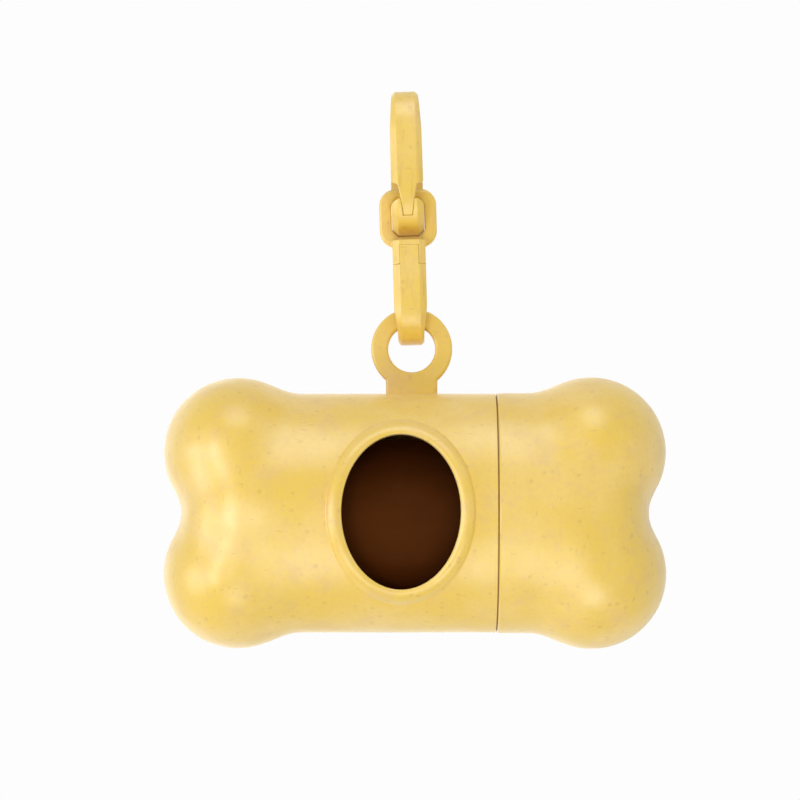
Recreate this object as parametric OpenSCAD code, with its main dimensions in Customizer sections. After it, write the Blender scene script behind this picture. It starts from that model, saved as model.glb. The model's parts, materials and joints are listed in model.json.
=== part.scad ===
// Bone-shaped dog waste bag dispenser that hangs from a leash on two linked plastic snap clips.
// Millimetres. The origin is the middle of the leash clip's top bend, where a leash ring sits.
// X runs along the bone, towards its cap. The dispensing opening faces -Y, and Z is up.

/* [Bone case] */
// Length of the bone beyond each end of a centred roll
end_room = 12.45; // [11:0.05:20]
// Play of the roll in the bore, on the diameter
roll_room = 5.1; // [3:0.1:10]
// Diameter of one lobe, seen from the front
lobe_d = 25.1; // [23:0.1:28]
// How far the lobes stand out above and below the tube
lobe_rise = 2.65; // [1.5:0.05:4]
// How much thinner the lobes are than the tube, from front to back
lobe_flat = 4.3; // [2:0.1:8]
// Depth of the middle of each end behind the tips of its lobes
notch_depth = 2.9; // [2:0.1:5]
// Length over which each end of the tube rounds off
nose_len = 16.5; // [12:0.1:20]
// Squareness of that rounding, where 2 is an ellipse
nose_power = 2.6; // [2:0.1:4]
// Reach of the soft blend between lobe and tube
blend = 2; // [0.5:0.5:4]
// Wall of the tube
wall = 2.6; // [2.2:0.1:3.2]
// Wall of the lobed ends, measured along each lobe
end_wall = 2.2; // [1.6:0.1:2.5]

/* [Cap joint] */
// Plain tube between the opening and the end of the cap's spigot
lap_margin = 1.1; // [0.5:0.1:3]
// Width of the seam line
seam_gap = 0.2; // [0.1:0.05:0.4]
// How far the cap stands proud of the body at the seam, on the radius
cap_step = 0.1; // [0:0.05:0.3]
// Length of the cap's spigot inside the body
lap_len = 5; // [3:0.5:8]
// Thickness of the spigot
lap_wall = 1.24; // [1:0.01:1.6]
// Radial clearance of the spigot in the body
lap_gap = 0.06; // [0.03:0.01:0.1]
// Width of the key that lines the cap up
key_w = 3; // [2:0.5:5]
// Height of that key above the spigot
key_h = 0.5; // [0.3:0.1:0.6]

/* [Dispensing opening] */
// Width of the oval opening
opening_w = 19.6; // [15:0.1:24]
// Height of the oval opening
opening_h = 25.6; // [20:0.1:29]
// Distance of its middle from the middle of the bone
opening_x = -2.3; // [-6:0.1:0]
// Width of the raised rim
rim_w = 2.4; // [1.5:0.1:3]
// Height of the raised rim above the tube
rim_h = 1.1; // [0.5:0.1:1.5]

/* [Eyelet] */
// Distance of the eyelet from the middle of the bone
eyelet_x = -0.5; // [-3:0.1:3]
// Diameter of the eyelet's hole
eyelet_hole_d = 7.94; // [7.5:0.1:9]
// Width of the ring round that hole
eyelet_band = 2.88; // [2:0.1:3.5]
// Thickness of the eyelet from front to back
eyelet_t = 3.2; // [2.4:0.1:3.8]
// Height of the middle of the hole above the tube
eyelet_rise = 7.55; // [7:0.05:9]
// Width of the eyelet's foot
eyelet_foot_w = 8.7; // [7:0.1:11]

/* [Leash clip] */
// Lean of the two clips towards the closed end of the bone, in degrees
clip_lean = 1.6; // [0:0.1:5]
// Distance between the middles of the clip's two bends
leash_pitch = 10.6; // [10:0.1:20]
// Outside radius of the bends, seen from the side
leash_bend_r = 7; // [6.6:0.1:7.1]
// Thickness of the clip's bar, seen from the side
leash_bar = 2.6; // [2:0.1:3]
// Width of the clip at its base, seen from the front
leash_base_w = 5.5; // [4.8:0.1:5.6]
// Width of the clip at the root of its arm
leash_root_w = 5.3; // [4.6:0.1:5.4]
// Width of the clip at the top of its bend
leash_top_w = 4.5; // [4.2:0.1:5]
// Width of the sprung arm below its shoulders, where it passes in front of the eye
leash_neck_w = 3.2; // [2.6:0.1:3.6]
// Width of the arm's tongue, where it snaps into the base
leash_tongue_w = 1.7; // [1.2:0.1:2.2]
// Length of the tongue below the floor of the clip
leash_tongue_len = 2.7; // [2:0.1:3]

/* [Link clip] */
// Distance from the middle of the eye's top bar to the lowest point of the clip
link_len = 25.5; // [24:0.1:32]
// Diameter of the eye's top bar
eye_bar_d = 2.1; // [1.8:0.1:2.2]
// Width of the eye's two side bars
eye_side_bar = 1.9; // [1.4:0.05:2.5]
// Height of the eye's lower bar
eye_low_bar = 1.75; // [1.3:0.05:2.2]
// Gap between the eye's window and each side of the leash clip's base
window_gap = 0.2; // [0.2:0.05:1]
// Gap between the eye and the base of the leash clip as they turn
turn_gap = 0.2; // [0.2:0.05:1]
// Thickness of the eye from front to back
eye_t = 2.2; // [1.8:0.1:2.3]
// Outside radius of the link clip's bend, seen from the side
link_bend_r = 6.5; // [6.2:0.1:8]
// Thickness of the bar that the eyelet hangs on
link_bar = 2.7; // [2.2:0.1:2.9]
// Width of the link clip below the eye
link_w = 5.6; // [5:0.1:6]
// Width of the bar that the eyelet hangs on
link_bend_w = 4.4; // [3.6:0.1:4.4]
// Height of the solid block between the eye and the link clip's gap
link_block_h = 4.1; // [3.5:0.1:5]
// Width of the arm's tongue, where it snaps into the block
link_tongue_w = 3.2; // [2.4:0.1:3.4]

/* [Sprung arms] */
// Thickness of each sprung arm, seen from the side
arm_t = 1.8; // [1.4:0.1:2]
// Gap round a tongue in its groove
arm_gap = 0.15; // [0.1:0.05:0.2]
// Radial clearance round the root that an arm flexes on
root_gap = 0.1; // [0.05:0.01:0.1]

/* [Bag roll] */
// Outside diameter of a full roll
roll_d = 30; // [26:0.5:30.5]
// Length of the roll
roll_len = 60; // [50:0.5:60]
// Outside diameter of the paperboard core
core_d = 14; // [12:0.5:18]
// Wall of the core
core_wall = 1; // [0.6:0.1:1.5]
// Gap under the roll, which lies at the bottom of the tube
roll_gap = 0.15; // [0.1:0.05:0.3]
// Distance of the middle of the roll from the middle of the bone
roll_x = -1.8; // [-2:0.1:2]

/* [Hidden] */
straw_yellow = "#ecd083";
film_brown = "#45240b";
board_tan = "#b08a5b";

half_len = roll_len / 2 + end_room;
bore_r = (roll_d + roll_room) / 2;
tube_r = bore_r + wall;
lobe_r = lobe_d / 2;
lobe_spacing = 2 * (tube_r + lobe_rise - lobe_r);
lobe_depth = 2 * tube_r - lobe_flat;
lobe_x = half_len - lobe_r;
nose_tip = half_len - notch_depth;
nose_x = nose_tip - nose_len;
seam_x = opening_x + opening_w / 2 + lap_margin + lap_len;
lap_r = bore_r + lap_wall;
lap_end_gap = 0.3;
// The rays that measure the bone start here, on the plain tube beside the lobes
ray_x = lobe_x - lobe_r - blend / 2;
ray_far = 2 * half_len;
around = 60;
rings = 24;
inner_around = 40;
inner_rings = 16;
smooth = 96;

eye_bar_r = eye_bar_d / 2;
seat_gap = 0.15;
leash_floor = eye_bar_r + seat_gap;
leash_in_r = leash_bend_r - leash_bar;
leash_edge = 1.05;
base_round = 1.4;
leash_taper = 2.4;
leash_shoulder = 0.5;

link_bend_z = -(link_len - link_bend_r);
link_in_r = link_bend_r - link_bar;
// The window leaves room for the base of the leash clip to turn inside it
window_w = leash_base_w + 2 * window_gap;
window_reach = leash_bend_r + turn_gap;
eye_w = window_w + 2 * eye_side_bar;
eye_low = -(window_reach + eye_low_bar);
block_top = eye_low + eye_low_bar / 2;
block_bottom = block_top - link_block_h;
groove_top = block_top - 0.85;
link_edge = 1.1;
link_floor = -(link_len - link_bar);
bar_bevel = 0.5;
eyelet_r = eyelet_hole_d / 2;
// The bar's top corners rest against the hole, so the hole's middle follows from its radius
rest_gap = 0.2;
bar_corner = link_bend_w / 2 - bar_bevel;
seat_half = eyelet_t / 2 + 0.3;
eyelet_z = link_floor - sqrt(pow(eyelet_r - rest_gap, 2) - pow(bar_corner, 2));
pivot_z = -leash_pitch;
// How far the eyelet's hole hangs below the top bend, along the leaning clips
hang = -(pivot_z + eyelet_z);
case_x = hang * sin(clip_lean) - eyelet_x;
case_z = -hang * cos(clip_lean) - eyelet_rise - tube_r;
roll_z = -(bore_r - roll_d / 2 - roll_gap);
past = 1;

// Smooth union of two distances, rounded over the width k
function soft_min(a, b, k) = min(a, b) - pow(max(k - abs(a - b), 0), 2) / (4 * k);

// Distance of a point from the round-nosed tube, grown by grow on the radius
function tube_side(x, r, grow) =
    let(
        u = max(x - nose_x, 0) / (nose_len + grow),
        size = tube_r + grow
    )
    (pow(pow(u, nose_power) + pow(r / size, nose_power), 1 / nose_power) - 1) * size;

// Distance of a point from one lobe, whose middle is at the height side * lobe_spacing / 2
function lobe_side(x, y, z, side, grow) =
    let(
        size = lobe_r + grow,
        dx = (x - lobe_x) / size,
        dy = y / (lobe_depth / 2 + grow),
        dz = (z - side * lobe_spacing / 2) / size
    )
    (sqrt(dx * dx + dy * dy + dz * dz) - 1) * size;

// Distance of a point from the whole end of the bone
function bone_side(x, y, z, grow) =
    soft_min(
        tube_side(x, sqrt(y * y + z * z), grow),
        soft_min(lobe_side(x, y, z, 1, grow), lobe_side(x, y, z, -1, grow), blend),
        blend
    );

// Length of a ray from the middle of the tube to the surface, by halving the stretch that holds it
function ray_length(dx, dy, dz, grow, near = 0, far = ray_far, steps = 18) =
    let(middle = (near + far) / 2)
    steps == 0 ? middle
    : bone_side(ray_x + middle * dx, middle * dy, middle * dz, grow) > 0
    ? ray_length(dx, dy, dz, grow, near, middle, steps - 1)
    : ray_length(dx, dy, dz, grow, middle, far, steps - 1);

function ray_point(polar, turn, grow) =
    let(
        dx = cos(polar),
        dy = sin(polar) * cos(turn),
        dz = sin(polar) * sin(turn),
        reach = ray_length(dx, dy, dz, grow)
    )
    [ray_x + reach * dx, reach * dy, reach * dz];

// One closed end of the bone, from its lobes to a flat face at x = cut_x
module bone_end(cut_x, grow, sides, count) {
    tip = [ray_point(0, 0, grow)];
    skin = [for (i = [1:count], j = [0:sides - 1]) ray_point(90 * i / count, 360 * j / sides, grow)];
    face = [
        for (j = [0:sides - 1])
            let(turn = 360 * j / sides)
            [cut_x, (tube_r + grow) * cos(turn), (tube_r + grow) * sin(turn)]
    ];
    fan = [for (j = [0:sides - 1]) [0, 1 + (j + 1) % sides, 1 + j]];
    strips = [
        for (i = [0:count - 1], j = [0:sides - 1])
            let(
                a = 1 + i * sides + j,
                b = 1 + i * sides + (j + 1) % sides
            )
            each [[a, b, a + sides], [b, b + sides, a + sides]]
    ];
    lid = [[for (j = [0:sides - 1]) 1 + count * sides + j]];
    polyhedron(points = concat(tip, skin, face), faces = concat(fan, strips, lid));
}

// A cylinder along X between two places
module rod_x(from, to, r) {
    translate([from, 0, 0]) rotate([0, 90, 0]) cylinder(h = to - from, r = r, $fn = smooth);
}

// A disc across X with its two edges cut at 45 degrees
module disc_x(r, w, cut) {
    rotate([0, 90, 0])
        rotate_extrude($fn = smooth)
            polygon([
                [0, -w / 2], [r - cut, -w / 2], [r, -w / 2 + cut],
                [r, w / 2 - cut], [r - cut, w / 2], [0, w / 2]
            ]);
}

// A block between two corners
module block(low, high) {
    translate(low) cube(high - low);
}

// A front outline, given as points in X and Z, made solid from front to back
module from_front(points, depth) {
    translate([0, depth, 0]) rotate([90, 0, 0]) linear_extrude(height = 2 * depth) polygon(points);
}

// Points of the oval opening, moved outwards by grow
function oval(turn, grow) = [
    opening_x + (opening_w / 2 + grow) * cos(turn),
    (opening_h / 2 + grow) * sin(turn)
];

// The raised rim, a half-round bead that follows the tube round the opening
module rim() {
    turns = 72;
    arc = 6;
    inner = -0.3;
    sink = 1;
    middle = (inner + rim_w) / 2;
    reach = (rim_w - inner) / 2;
    section = concat(
        [for (i = [0:arc]) [middle - reach * cos(180 * i / arc), rim_h * sin(180 * i / arc)]],
        [[rim_w, -sink], [inner, -sink]]
    );
    count = len(section);
    ring = [
        for (i = [0:turns - 1], p = section)
            let(
                spot = oval(360 * i / turns, p[0]),
                deep = sqrt(tube_r * tube_r - spot[1] * spot[1]),
                out = 1 + p[1] / tube_r
            )
            [spot[0], -deep * out, spot[1] * out]
    ];
    strips = [
        for (i = [0:turns - 1], j = [0:count - 1])
            let(
                a = i * count + j,
                b = i * count + (j + 1) % count,
                c = ((i + 1) % turns) * count + j,
                d = ((i + 1) % turns) * count + (j + 1) % count
            )
            each [[a, c, b], [b, c, d]]
    ];
    polyhedron(points = ring, faces = strips);
}

module opening_cut() {
    steps = 72;
    translate([0, -bore_r / 2, 0])
        rotate([90, 0, 0])
            linear_extrude(height = tube_r)
                polygon([for (i = [0:steps - 1]) oval(360 * i / steps, 0)]);
}

module eyelet() {
    rise = tube_r + eyelet_rise;
    foot_low = tube_r - wall / 2;
    translate([eyelet_x, 0, 0])
        difference() {
            union() {
                translate([0, eyelet_t / 2, rise])
                    rotate([90, 0, 0]) cylinder(h = eyelet_t, r = eyelet_r + eyelet_band, $fn = smooth);
                block(
                    [-eyelet_foot_w / 2, -eyelet_t / 2, foot_low],
                    [eyelet_foot_w / 2, eyelet_t / 2, rise - eyelet_r]
                );
            }
            translate([0, eyelet_t, rise])
                rotate([90, 0, 0]) cylinder(h = 2 * eyelet_t, r = eyelet_r, $fn = smooth);
        }
}

// The hollow of one half: the straight bore, limited by the inside of the lobed end
module hollow(mouth_x) {
    intersection() {
        rod_x(mouth_x, half_len, bore_r);
        bone_end(mouth_x - past, -end_wall, inner_around, inner_rings);
    }
}

// Places a piece of the case under its eyelet
module in_case() {
    translate([case_x, 0, case_z]) children();
}

// Leans a piece of a clip about the middle of the top bend
module in_chain() {
    rotate([0, -clip_lean, 0]) children();
}

// Lower shell of the bone: one lobed end, the tube, the rimmed opening and the eyelet
module case_body() {
    color(straw_yellow)
        in_case()
            difference() {
                union() {
                    mirror([1, 0, 0]) bone_end(-seam_x, 0, around, rings);
                    rim();
                    eyelet();
                }
                mirror([1, 0, 0]) hollow(-seam_x - past);
                rod_x(seam_x - lap_len - lap_end_gap, seam_x + past, lap_r);
                opening_cut();
                block(
                    [seam_x - lap_len - lap_end_gap, -key_w / 2 - lap_gap, lap_r - past],
                    [seam_x + past, key_w / 2 + lap_gap, lap_r + key_h + lap_gap]
                );
            }
}

// Push-on cap: the other lobed end, with the keyed spigot that slides into the body
module case_cap() {
    spigot_r = lap_r - lap_gap;
    color(straw_yellow)
        in_case()
            difference() {
                union() {
                    bone_end(seam_x + seam_gap, cap_step, around, rings);
                    rod_x(seam_x - lap_len, seam_x + seam_gap + past, spigot_r);
                    block(
                        [seam_x - lap_len + past, -key_w / 2, spigot_r - past],
                        [seam_x + seam_gap + past, key_w / 2, lap_r + key_h]
                    );
                }
                hollow(seam_x - lap_len - past);
            }
}

// Front outline of the leash clip, narrower towards the top
module leash_outline() {
    low = -leash_pitch - leash_bend_r - past;
    high = leash_bend_r + past;
    from_front(
        [
            [-leash_base_w / 2, low], [leash_base_w / 2, low],
            [leash_base_w / 2, -leash_pitch - leash_floor], [leash_root_w / 2, 0],
            [leash_top_w / 2, leash_bend_r], [leash_top_w / 2, high],
            [-leash_top_w / 2, high], [-leash_top_w / 2, leash_bend_r],
            [-leash_root_w / 2, 0], [-leash_base_w / 2, -leash_pitch - leash_floor]
        ],
        2 * leash_bend_r
    );
}

// The base's top corners, rounded so that the eye turns clear of them
module base_corners() {
    top = -leash_pitch - leash_floor;
    middle = leash_base_w / 2 - base_round;
    for (side = [0, 1])
        mirror([side, 0, 0])
            difference() {
                block(
                    [middle, -leash_bend_r - past, top - base_round],
                    [leash_base_w / 2 + past, leash_in_r, top + past]
                );
                translate([middle, leash_bend_r + past, top - base_round])
                    rotate([90, 0, 0]) cylinder(h = 3 * leash_bend_r, r = base_round, $fn = smooth);
            }
}

// Section of a clip between its bends, seen from above, with its four corners cut
module cut_section(w, r, cut) {
    polygon([
        [-w / 2, cut - r], [cut - w / 2, -r], [w / 2 - cut, -r], [w / 2, cut - r],
        [w / 2, r - cut], [w / 2 - cut, r], [cut - w / 2, r], [-w / 2, r - cut]
    ]);
}

// Outer shape of the leash clip and its arm
module leash_outside() {
    intersection() {
        union() {
            disc_x(leash_bend_r, leash_base_w, leash_edge);
            translate([0, 0, -leash_pitch]) {
                disc_x(leash_bend_r, leash_base_w, leash_edge);
                linear_extrude(height = leash_pitch)
                    cut_section(leash_base_w, leash_bend_r, leash_edge);
            }
        }
        leash_outline();
    }
}

// Leash clip without its arm: the top bend, the spine and the grooved base
module leash_clip() {
    base_top = -leash_pitch - leash_floor;
    groove_half = leash_tongue_w / 2 + arm_gap;
    color(straw_yellow)
        in_chain()
            difference() {
                leash_outside();
                block([-leash_base_w, -leash_bend_r - past, base_top], [leash_base_w, leash_in_r, 0]);
                rod_x(-leash_base_w, leash_base_w, leash_in_r);
                translate([0, -leash_bend_r + arm_t / 2, 0])
                    rod_x(-leash_base_w, leash_base_w, arm_t / 2 + root_gap);
                difference() {
                    intersection() {
                        block(
                            [-groove_half, -leash_bend_r - past, -leash_pitch - leash_bend_r],
                            [groove_half, 0, base_top + past]
                        );
                        leash_arm_swing(arm_gap);
                    }
                    translate([0, 0, -leash_pitch])
                        rod_x(-leash_base_w, leash_base_w, leash_bend_r - arm_t - arm_gap);
                }
                base_corners();
            }
}

// The round space that the end of the leash clip's arm sweeps as it flexes
module leash_arm_swing(grow) {
    translate([0, -leash_bend_r + arm_t / 2, 0])
        rod_x(-leash_base_w, leash_base_w, leash_pitch + leash_floor + leash_tongue_len + grow);
}

// Front outline of the leash clip's arm: full width, then a neck, then the tongue
module leash_arm_outline() {
    low = -leash_pitch - leash_bend_r;
    tongue_top = -leash_pitch - leash_floor + arm_gap;
    neck_top = -leash_pitch - leash_floor + leash_taper;
    shoulder = neck_top + leash_shoulder;
    from_front(
        [
            [-leash_tongue_w / 2, low], [leash_tongue_w / 2, low], [leash_tongue_w / 2, tongue_top],
            [leash_neck_w / 2, neck_top], [leash_base_w / 2, shoulder], [leash_base_w / 2, arm_t],
            [-leash_base_w / 2, arm_t], [-leash_base_w / 2, shoulder], [-leash_neck_w / 2, neck_top],
            [-leash_tongue_w / 2, tongue_top]
        ],
        2 * leash_bend_r
    );
}

// Sprung arm of the leash clip, with the narrow tongue that sits in the groove of the base
module leash_clip_arm() {
    color(straw_yellow)
        in_chain()
            intersection() {
                leash_outside();
                leash_arm_swing(0);
                leash_arm_outline();
                union() {
                    translate([0, -leash_bend_r + arm_t / 2, 0])
                        rod_x(-leash_base_w, leash_base_w, arm_t / 2);
                    block(
                        [-leash_base_w, -leash_bend_r - past, -leash_pitch],
                        [leash_base_w, -leash_bend_r + arm_t, 0]
                    );
                    translate([0, 0, -leash_pitch])
                        difference() {
                            block(
                                [-leash_base_w, -leash_bend_r - past, -leash_bend_r],
                                [leash_base_w, 0, 0]
                            );
                            rod_x(-2 * leash_base_w, 2 * leash_base_w, leash_bend_r - arm_t);
                        }
                }
            }
}

// An eight-sided outline with cut corners
function cut_corners(w, low, high, cut_low, cut_high) = [
    [-w / 2 + cut_low, low], [w / 2 - cut_low, low], [w / 2, low + cut_low], [w / 2, high - cut_high],
    [w / 2 - cut_high, high], [-w / 2 + cut_high, high], [-w / 2, high - cut_high], [-w / 2, low + cut_low]
];

// The eye, whose round top bar rests on the base of the leash clip
module eye() {
    outer_cut = 1.9;
    low_cut = 1;
    high_cut = 0.7;
    bar_w = window_w - 2 * high_cut;
    difference() {
        from_front(cut_corners(eye_w, eye_low, eye_bar_r, outer_cut, outer_cut), eye_t / 2);
        from_front(cut_corners(window_w, -window_reach, -eye_bar_r, low_cut, high_cut), eye_t);
        block([-bar_w / 2, -eye_t, -eye_bar_r - past], [bar_w / 2, eye_t, eye_bar_r + past]);
    }
    rod_x(-bar_w / 2 - high_cut / 2, bar_w / 2 + high_cut / 2, eye_bar_r);
}

// Front outline of the link clip below its eye, narrower round the bar that carries the case
module link_outline() {
    low = -link_len - past;
    from_front(
        [
            [-link_bend_w / 2, low], [link_bend_w / 2, low],
            [link_bend_w / 2, link_floor - past], [link_w / 2, link_bend_z],
            [link_w / 2, block_top], [-link_w / 2, block_top],
            [-link_w / 2, link_bend_z], [-link_bend_w / 2, link_floor - past]
        ],
        2 * link_bend_r
    );
}

// Cuts the top corners of the bar that carries the case, along the part of it inside the eyelet
module bar_bevels() {
    for (side = [-1, 1])
        translate([side * link_bend_w / 2, 0, link_floor])
            rotate([0, 45, 0])
                block(
                    [-bar_bevel / sqrt(2), -eyelet_t, -bar_bevel / sqrt(2)],
                    [bar_bevel / sqrt(2), eyelet_t, bar_bevel / sqrt(2)]
                );
}

// Outer shape of the link clip below its eye, and of its arm
module link_outside() {
    intersection() {
        translate([0, 0, link_bend_z]) {
            disc_x(link_bend_r, link_w, link_edge);
            linear_extrude(height = block_top - link_bend_z) cut_section(link_w, link_bend_r, link_edge);
        }
        link_outline();
    }
}

// Link clip without its arm: the eye, the grooved block, the spine and the bend that carries the case
module link_clip() {
    color(straw_yellow)
        in_chain()
            translate([0, 0, pivot_z]) {
                difference() {
                    link_outside();
                    block([-link_w, -link_bend_r - past, link_bend_z], [link_w, link_in_r, block_bottom]);
                    translate([0, 0, link_bend_z]) rod_x(-link_w, link_w, link_in_r);
                    block([-link_w, -seat_half, link_floor], [link_w, seat_half, link_bend_z]);
                    bar_bevels();
                    translate([0, -link_bend_r + arm_t / 2, link_bend_z])
                        rod_x(-link_w, link_w, arm_t / 2 + root_gap);
                    block(
                        [-link_tongue_w / 2 - arm_gap, -link_bend_r - past, block_bottom - past],
                        [link_tongue_w / 2 + arm_gap, -link_bend_r + arm_t + arm_gap, groove_top]
                    );
                }
                eye();
            }
}

// Sprung arm of the link clip, with the tongue that sits in the groove of the block
module link_clip_arm() {
    tongue_end = groove_top - arm_gap;
    shoulder = block_bottom - arm_gap;
    color(straw_yellow)
        in_chain()
            translate([0, 0, pivot_z])
                intersection() {
                    link_outside();
                    union() {
                        translate([0, -link_bend_r + arm_t / 2, link_bend_z])
                            rod_x(-link_w, link_w, arm_t / 2);
                        block(
                            [-link_w, -link_bend_r - past, link_bend_z],
                            [link_w, -link_bend_r + arm_t, shoulder]
                        );
                        block(
                            [-link_tongue_w / 2, -link_bend_r - past, shoulder - past],
                            [link_tongue_w / 2, -link_bend_r + arm_t, tongue_end]
                        );
                    }
                }
}

// Places a piece on the axis of the roll
module in_roll() {
    in_case() translate([roll_x, 0, roll_z]) children();
}

// Paperboard core of the roll
module roll_core() {
    color(board_tan)
        in_roll()
            difference() {
                rod_x(-roll_len / 2, roll_len / 2, core_d / 2);
                rod_x(-roll_len, roll_len, core_d / 2 - core_wall);
            }
}

// The wound bags, as one solid
module bag_roll() {
    color(film_brown)
        in_roll()
            difference() {
                rod_x(-roll_len / 2, roll_len / 2, roll_d / 2);
                rod_x(-roll_len, roll_len, core_d / 2);
            }
}

case_body();
case_cap();
leash_clip();
leash_clip_arm();
link_clip();
link_clip_arm();
roll_core();
bag_roll();
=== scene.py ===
import itertools
import json
import math
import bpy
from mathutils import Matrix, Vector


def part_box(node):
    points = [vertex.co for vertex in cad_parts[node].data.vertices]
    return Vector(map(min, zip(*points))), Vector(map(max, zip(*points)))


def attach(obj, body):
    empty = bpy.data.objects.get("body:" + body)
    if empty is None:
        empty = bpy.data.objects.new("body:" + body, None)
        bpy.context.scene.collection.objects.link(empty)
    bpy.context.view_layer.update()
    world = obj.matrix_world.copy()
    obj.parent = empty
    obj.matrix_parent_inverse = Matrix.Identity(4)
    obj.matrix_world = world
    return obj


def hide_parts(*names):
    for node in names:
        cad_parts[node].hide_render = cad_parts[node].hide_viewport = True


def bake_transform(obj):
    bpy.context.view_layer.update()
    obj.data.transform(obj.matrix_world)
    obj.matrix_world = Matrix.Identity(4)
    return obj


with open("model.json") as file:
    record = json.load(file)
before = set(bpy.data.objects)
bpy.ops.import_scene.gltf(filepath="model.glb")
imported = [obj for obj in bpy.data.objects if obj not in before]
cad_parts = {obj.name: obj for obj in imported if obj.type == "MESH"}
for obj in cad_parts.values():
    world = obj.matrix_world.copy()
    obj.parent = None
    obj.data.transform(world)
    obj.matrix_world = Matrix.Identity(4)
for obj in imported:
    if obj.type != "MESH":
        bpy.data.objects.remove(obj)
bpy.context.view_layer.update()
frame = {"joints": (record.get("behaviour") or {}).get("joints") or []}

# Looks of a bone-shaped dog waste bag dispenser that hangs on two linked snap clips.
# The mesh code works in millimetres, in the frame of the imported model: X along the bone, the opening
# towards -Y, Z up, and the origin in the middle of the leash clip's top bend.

from types import SimpleNamespace

import bmesh
import bpy
import numpy as np
from bpy.props import FloatProperty, FloatVectorProperty, IntProperty, PointerProperty
from bpy.types import Operator, Panel, PropertyGroup
from mathutils import Vector

bl_info = {
    "name": "Waste Bag Dispenser",
    "version": (1, 0, 0),
    "blender": (4, 5, 0),
    "location": "3D View > Sidebar > Dispenser",
    "description": "Bone-shaped case, its cap, two linked snap clips and the roll of bags",
    "category": "Add Mesh",
}

MM = 0.001
SEED = 7


def linear(code):
    """An sRGB hex colour as the linear colour with alpha that Blender works in."""
    levels = [int(code[i:i + 2], 16) / 255 for i in (1, 3, 5)]
    return tuple(v / 12.92 if v <= 0.04045 else ((v + 0.055) / 1.055) ** 2.4 for v in levels) + (1.0,)


def length(name, description, size):
    """A length property, with its default given in millimetres."""
    return FloatProperty(
        name=name, description=description, default=size * MM, unit="LENGTH", subtype="DISTANCE", precision=5
    )


def colour(name, description, code):
    """A colour property, with its default given as an sRGB hex value."""
    return FloatVectorProperty(
        name=name, description=description, default=linear(code), size=4, min=0, max=1, subtype="COLOR"
    )


def joint_place(name):
    """Where a joint of the frame sits, in millimetres."""
    found = next(j for j in frame["joints"] if j["name"] == name)
    return np.array(found["pos_m"]) / MM


def chain_points(points):
    """Points of an upright clip, in millimetres, turned to the lean at which the two clips hang."""
    hole = joint_place("case_swing")
    lean = math.atan2(hole[0], -hole[2])
    x, y, z = np.asarray(points, dtype=float).T
    across = x * math.cos(lean) - z * math.sin(lean)
    up = x * math.sin(lean) + z * math.cos(lean)
    return np.stack([across, y, up], axis=1)


def down_chain(name):
    """How far a joint lies below the middle of the top bend, along the leaning clips."""
    place = joint_place(name)
    return math.hypot(place[0], place[2])


# Sizes and colours

class CaseSizes(PropertyGroup):
    half_len: length("Half length", "Half the length of the bone", 42.3)
    lobe_d: length("Lobe diameter", "Diameter of one lobe, seen from the front", 25.1)
    lobe_rise: length("Lobe rise", "How far the lobes stand out above and below the tube", 2.65)
    lobe_flat: length("Lobe flatness", "How much thinner the lobes are than the tube", 4.3)
    notch_depth: length("Notch depth", "Depth of the middle of each end behind its lobes", 3.1)
    nose_len: length("Nose length", "Length over which each end of the tube rounds off", 16.5)
    nose_power: FloatProperty(
        name="Nose squareness", description="Squareness of that rounding, where 2 is an ellipse", default=2.6
    )
    blend: length("Blend", "Reach of the soft blend between lobe and tube", 2)
    tube_r: length("Tube radius", "Outside radius of the tube", 20.15)
    wall: length("Wall", "Wall of the tube", 2.6)
    end_wall: length("End wall", "Wall of the lobed ends", 2.2)


class CapJointSizes(PropertyGroup):
    seam_x: length("Seam", "Distance of the seam from the middle of the bone", 13.6)
    seam_gap: length("Seam gap", "Width of the seam line", 0.2)
    cap_step: length("Cap step", "How far the cap stands proud of the body at the seam", 0.1)
    body_round: length("Body edge", "Rounding of the body's edge at the seam", 0.12)
    cap_round: length("Cap edge", "Rounding of the cap's edge at the seam", 0.3)
    lap_len: length("Spigot length", "Length of the cap's spigot inside the body", 5)
    lap_wall: length("Spigot wall", "Thickness of the spigot", 1.24)
    lap_gap: length("Spigot clearance", "Radial clearance of the spigot in the body", 0.06)
    lap_end_gap: length("Spigot end gap", "Gap past the end of the spigot", 0.3)
    key_w: length("Key width", "Width of the key that lines the cap up", 3)
    key_h: length("Key height", "Height of that key above the spigot", 0.5)


class OpeningSizes(PropertyGroup):
    opening_w: length("Opening width", "Width of the oval opening", 19.6)
    opening_h: length("Opening height", "Height of the oval opening", 25.6)
    opening_x: length("Opening place", "Distance of its middle from the middle of the bone", -2.3)
    rim_w: length("Rim width", "Width of the raised rim", 2.4)
    rim_h: length("Rim height", "Height of the raised rim above the tube", 1.25)


class EyeletSizes(PropertyGroup):
    eyelet_x: length("Eyelet place", "Distance of the eyelet from the middle of the bone", -0.5)
    hole_d: length("Hole diameter", "Diameter of the eyelet's hole", 7.94)
    band: length("Band", "Width of the ring round that hole", 2.88)
    thick: length("Thickness", "Thickness of the eyelet from front to back", 3.2)
    rise: length("Rise", "Height of the middle of the hole above the tube", 7.55)
    foot_w: length("Foot width", "Width of the eyelet's foot", 8.7)
    edge: length("Edge", "Rounding of its edges", 0.45)


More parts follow.
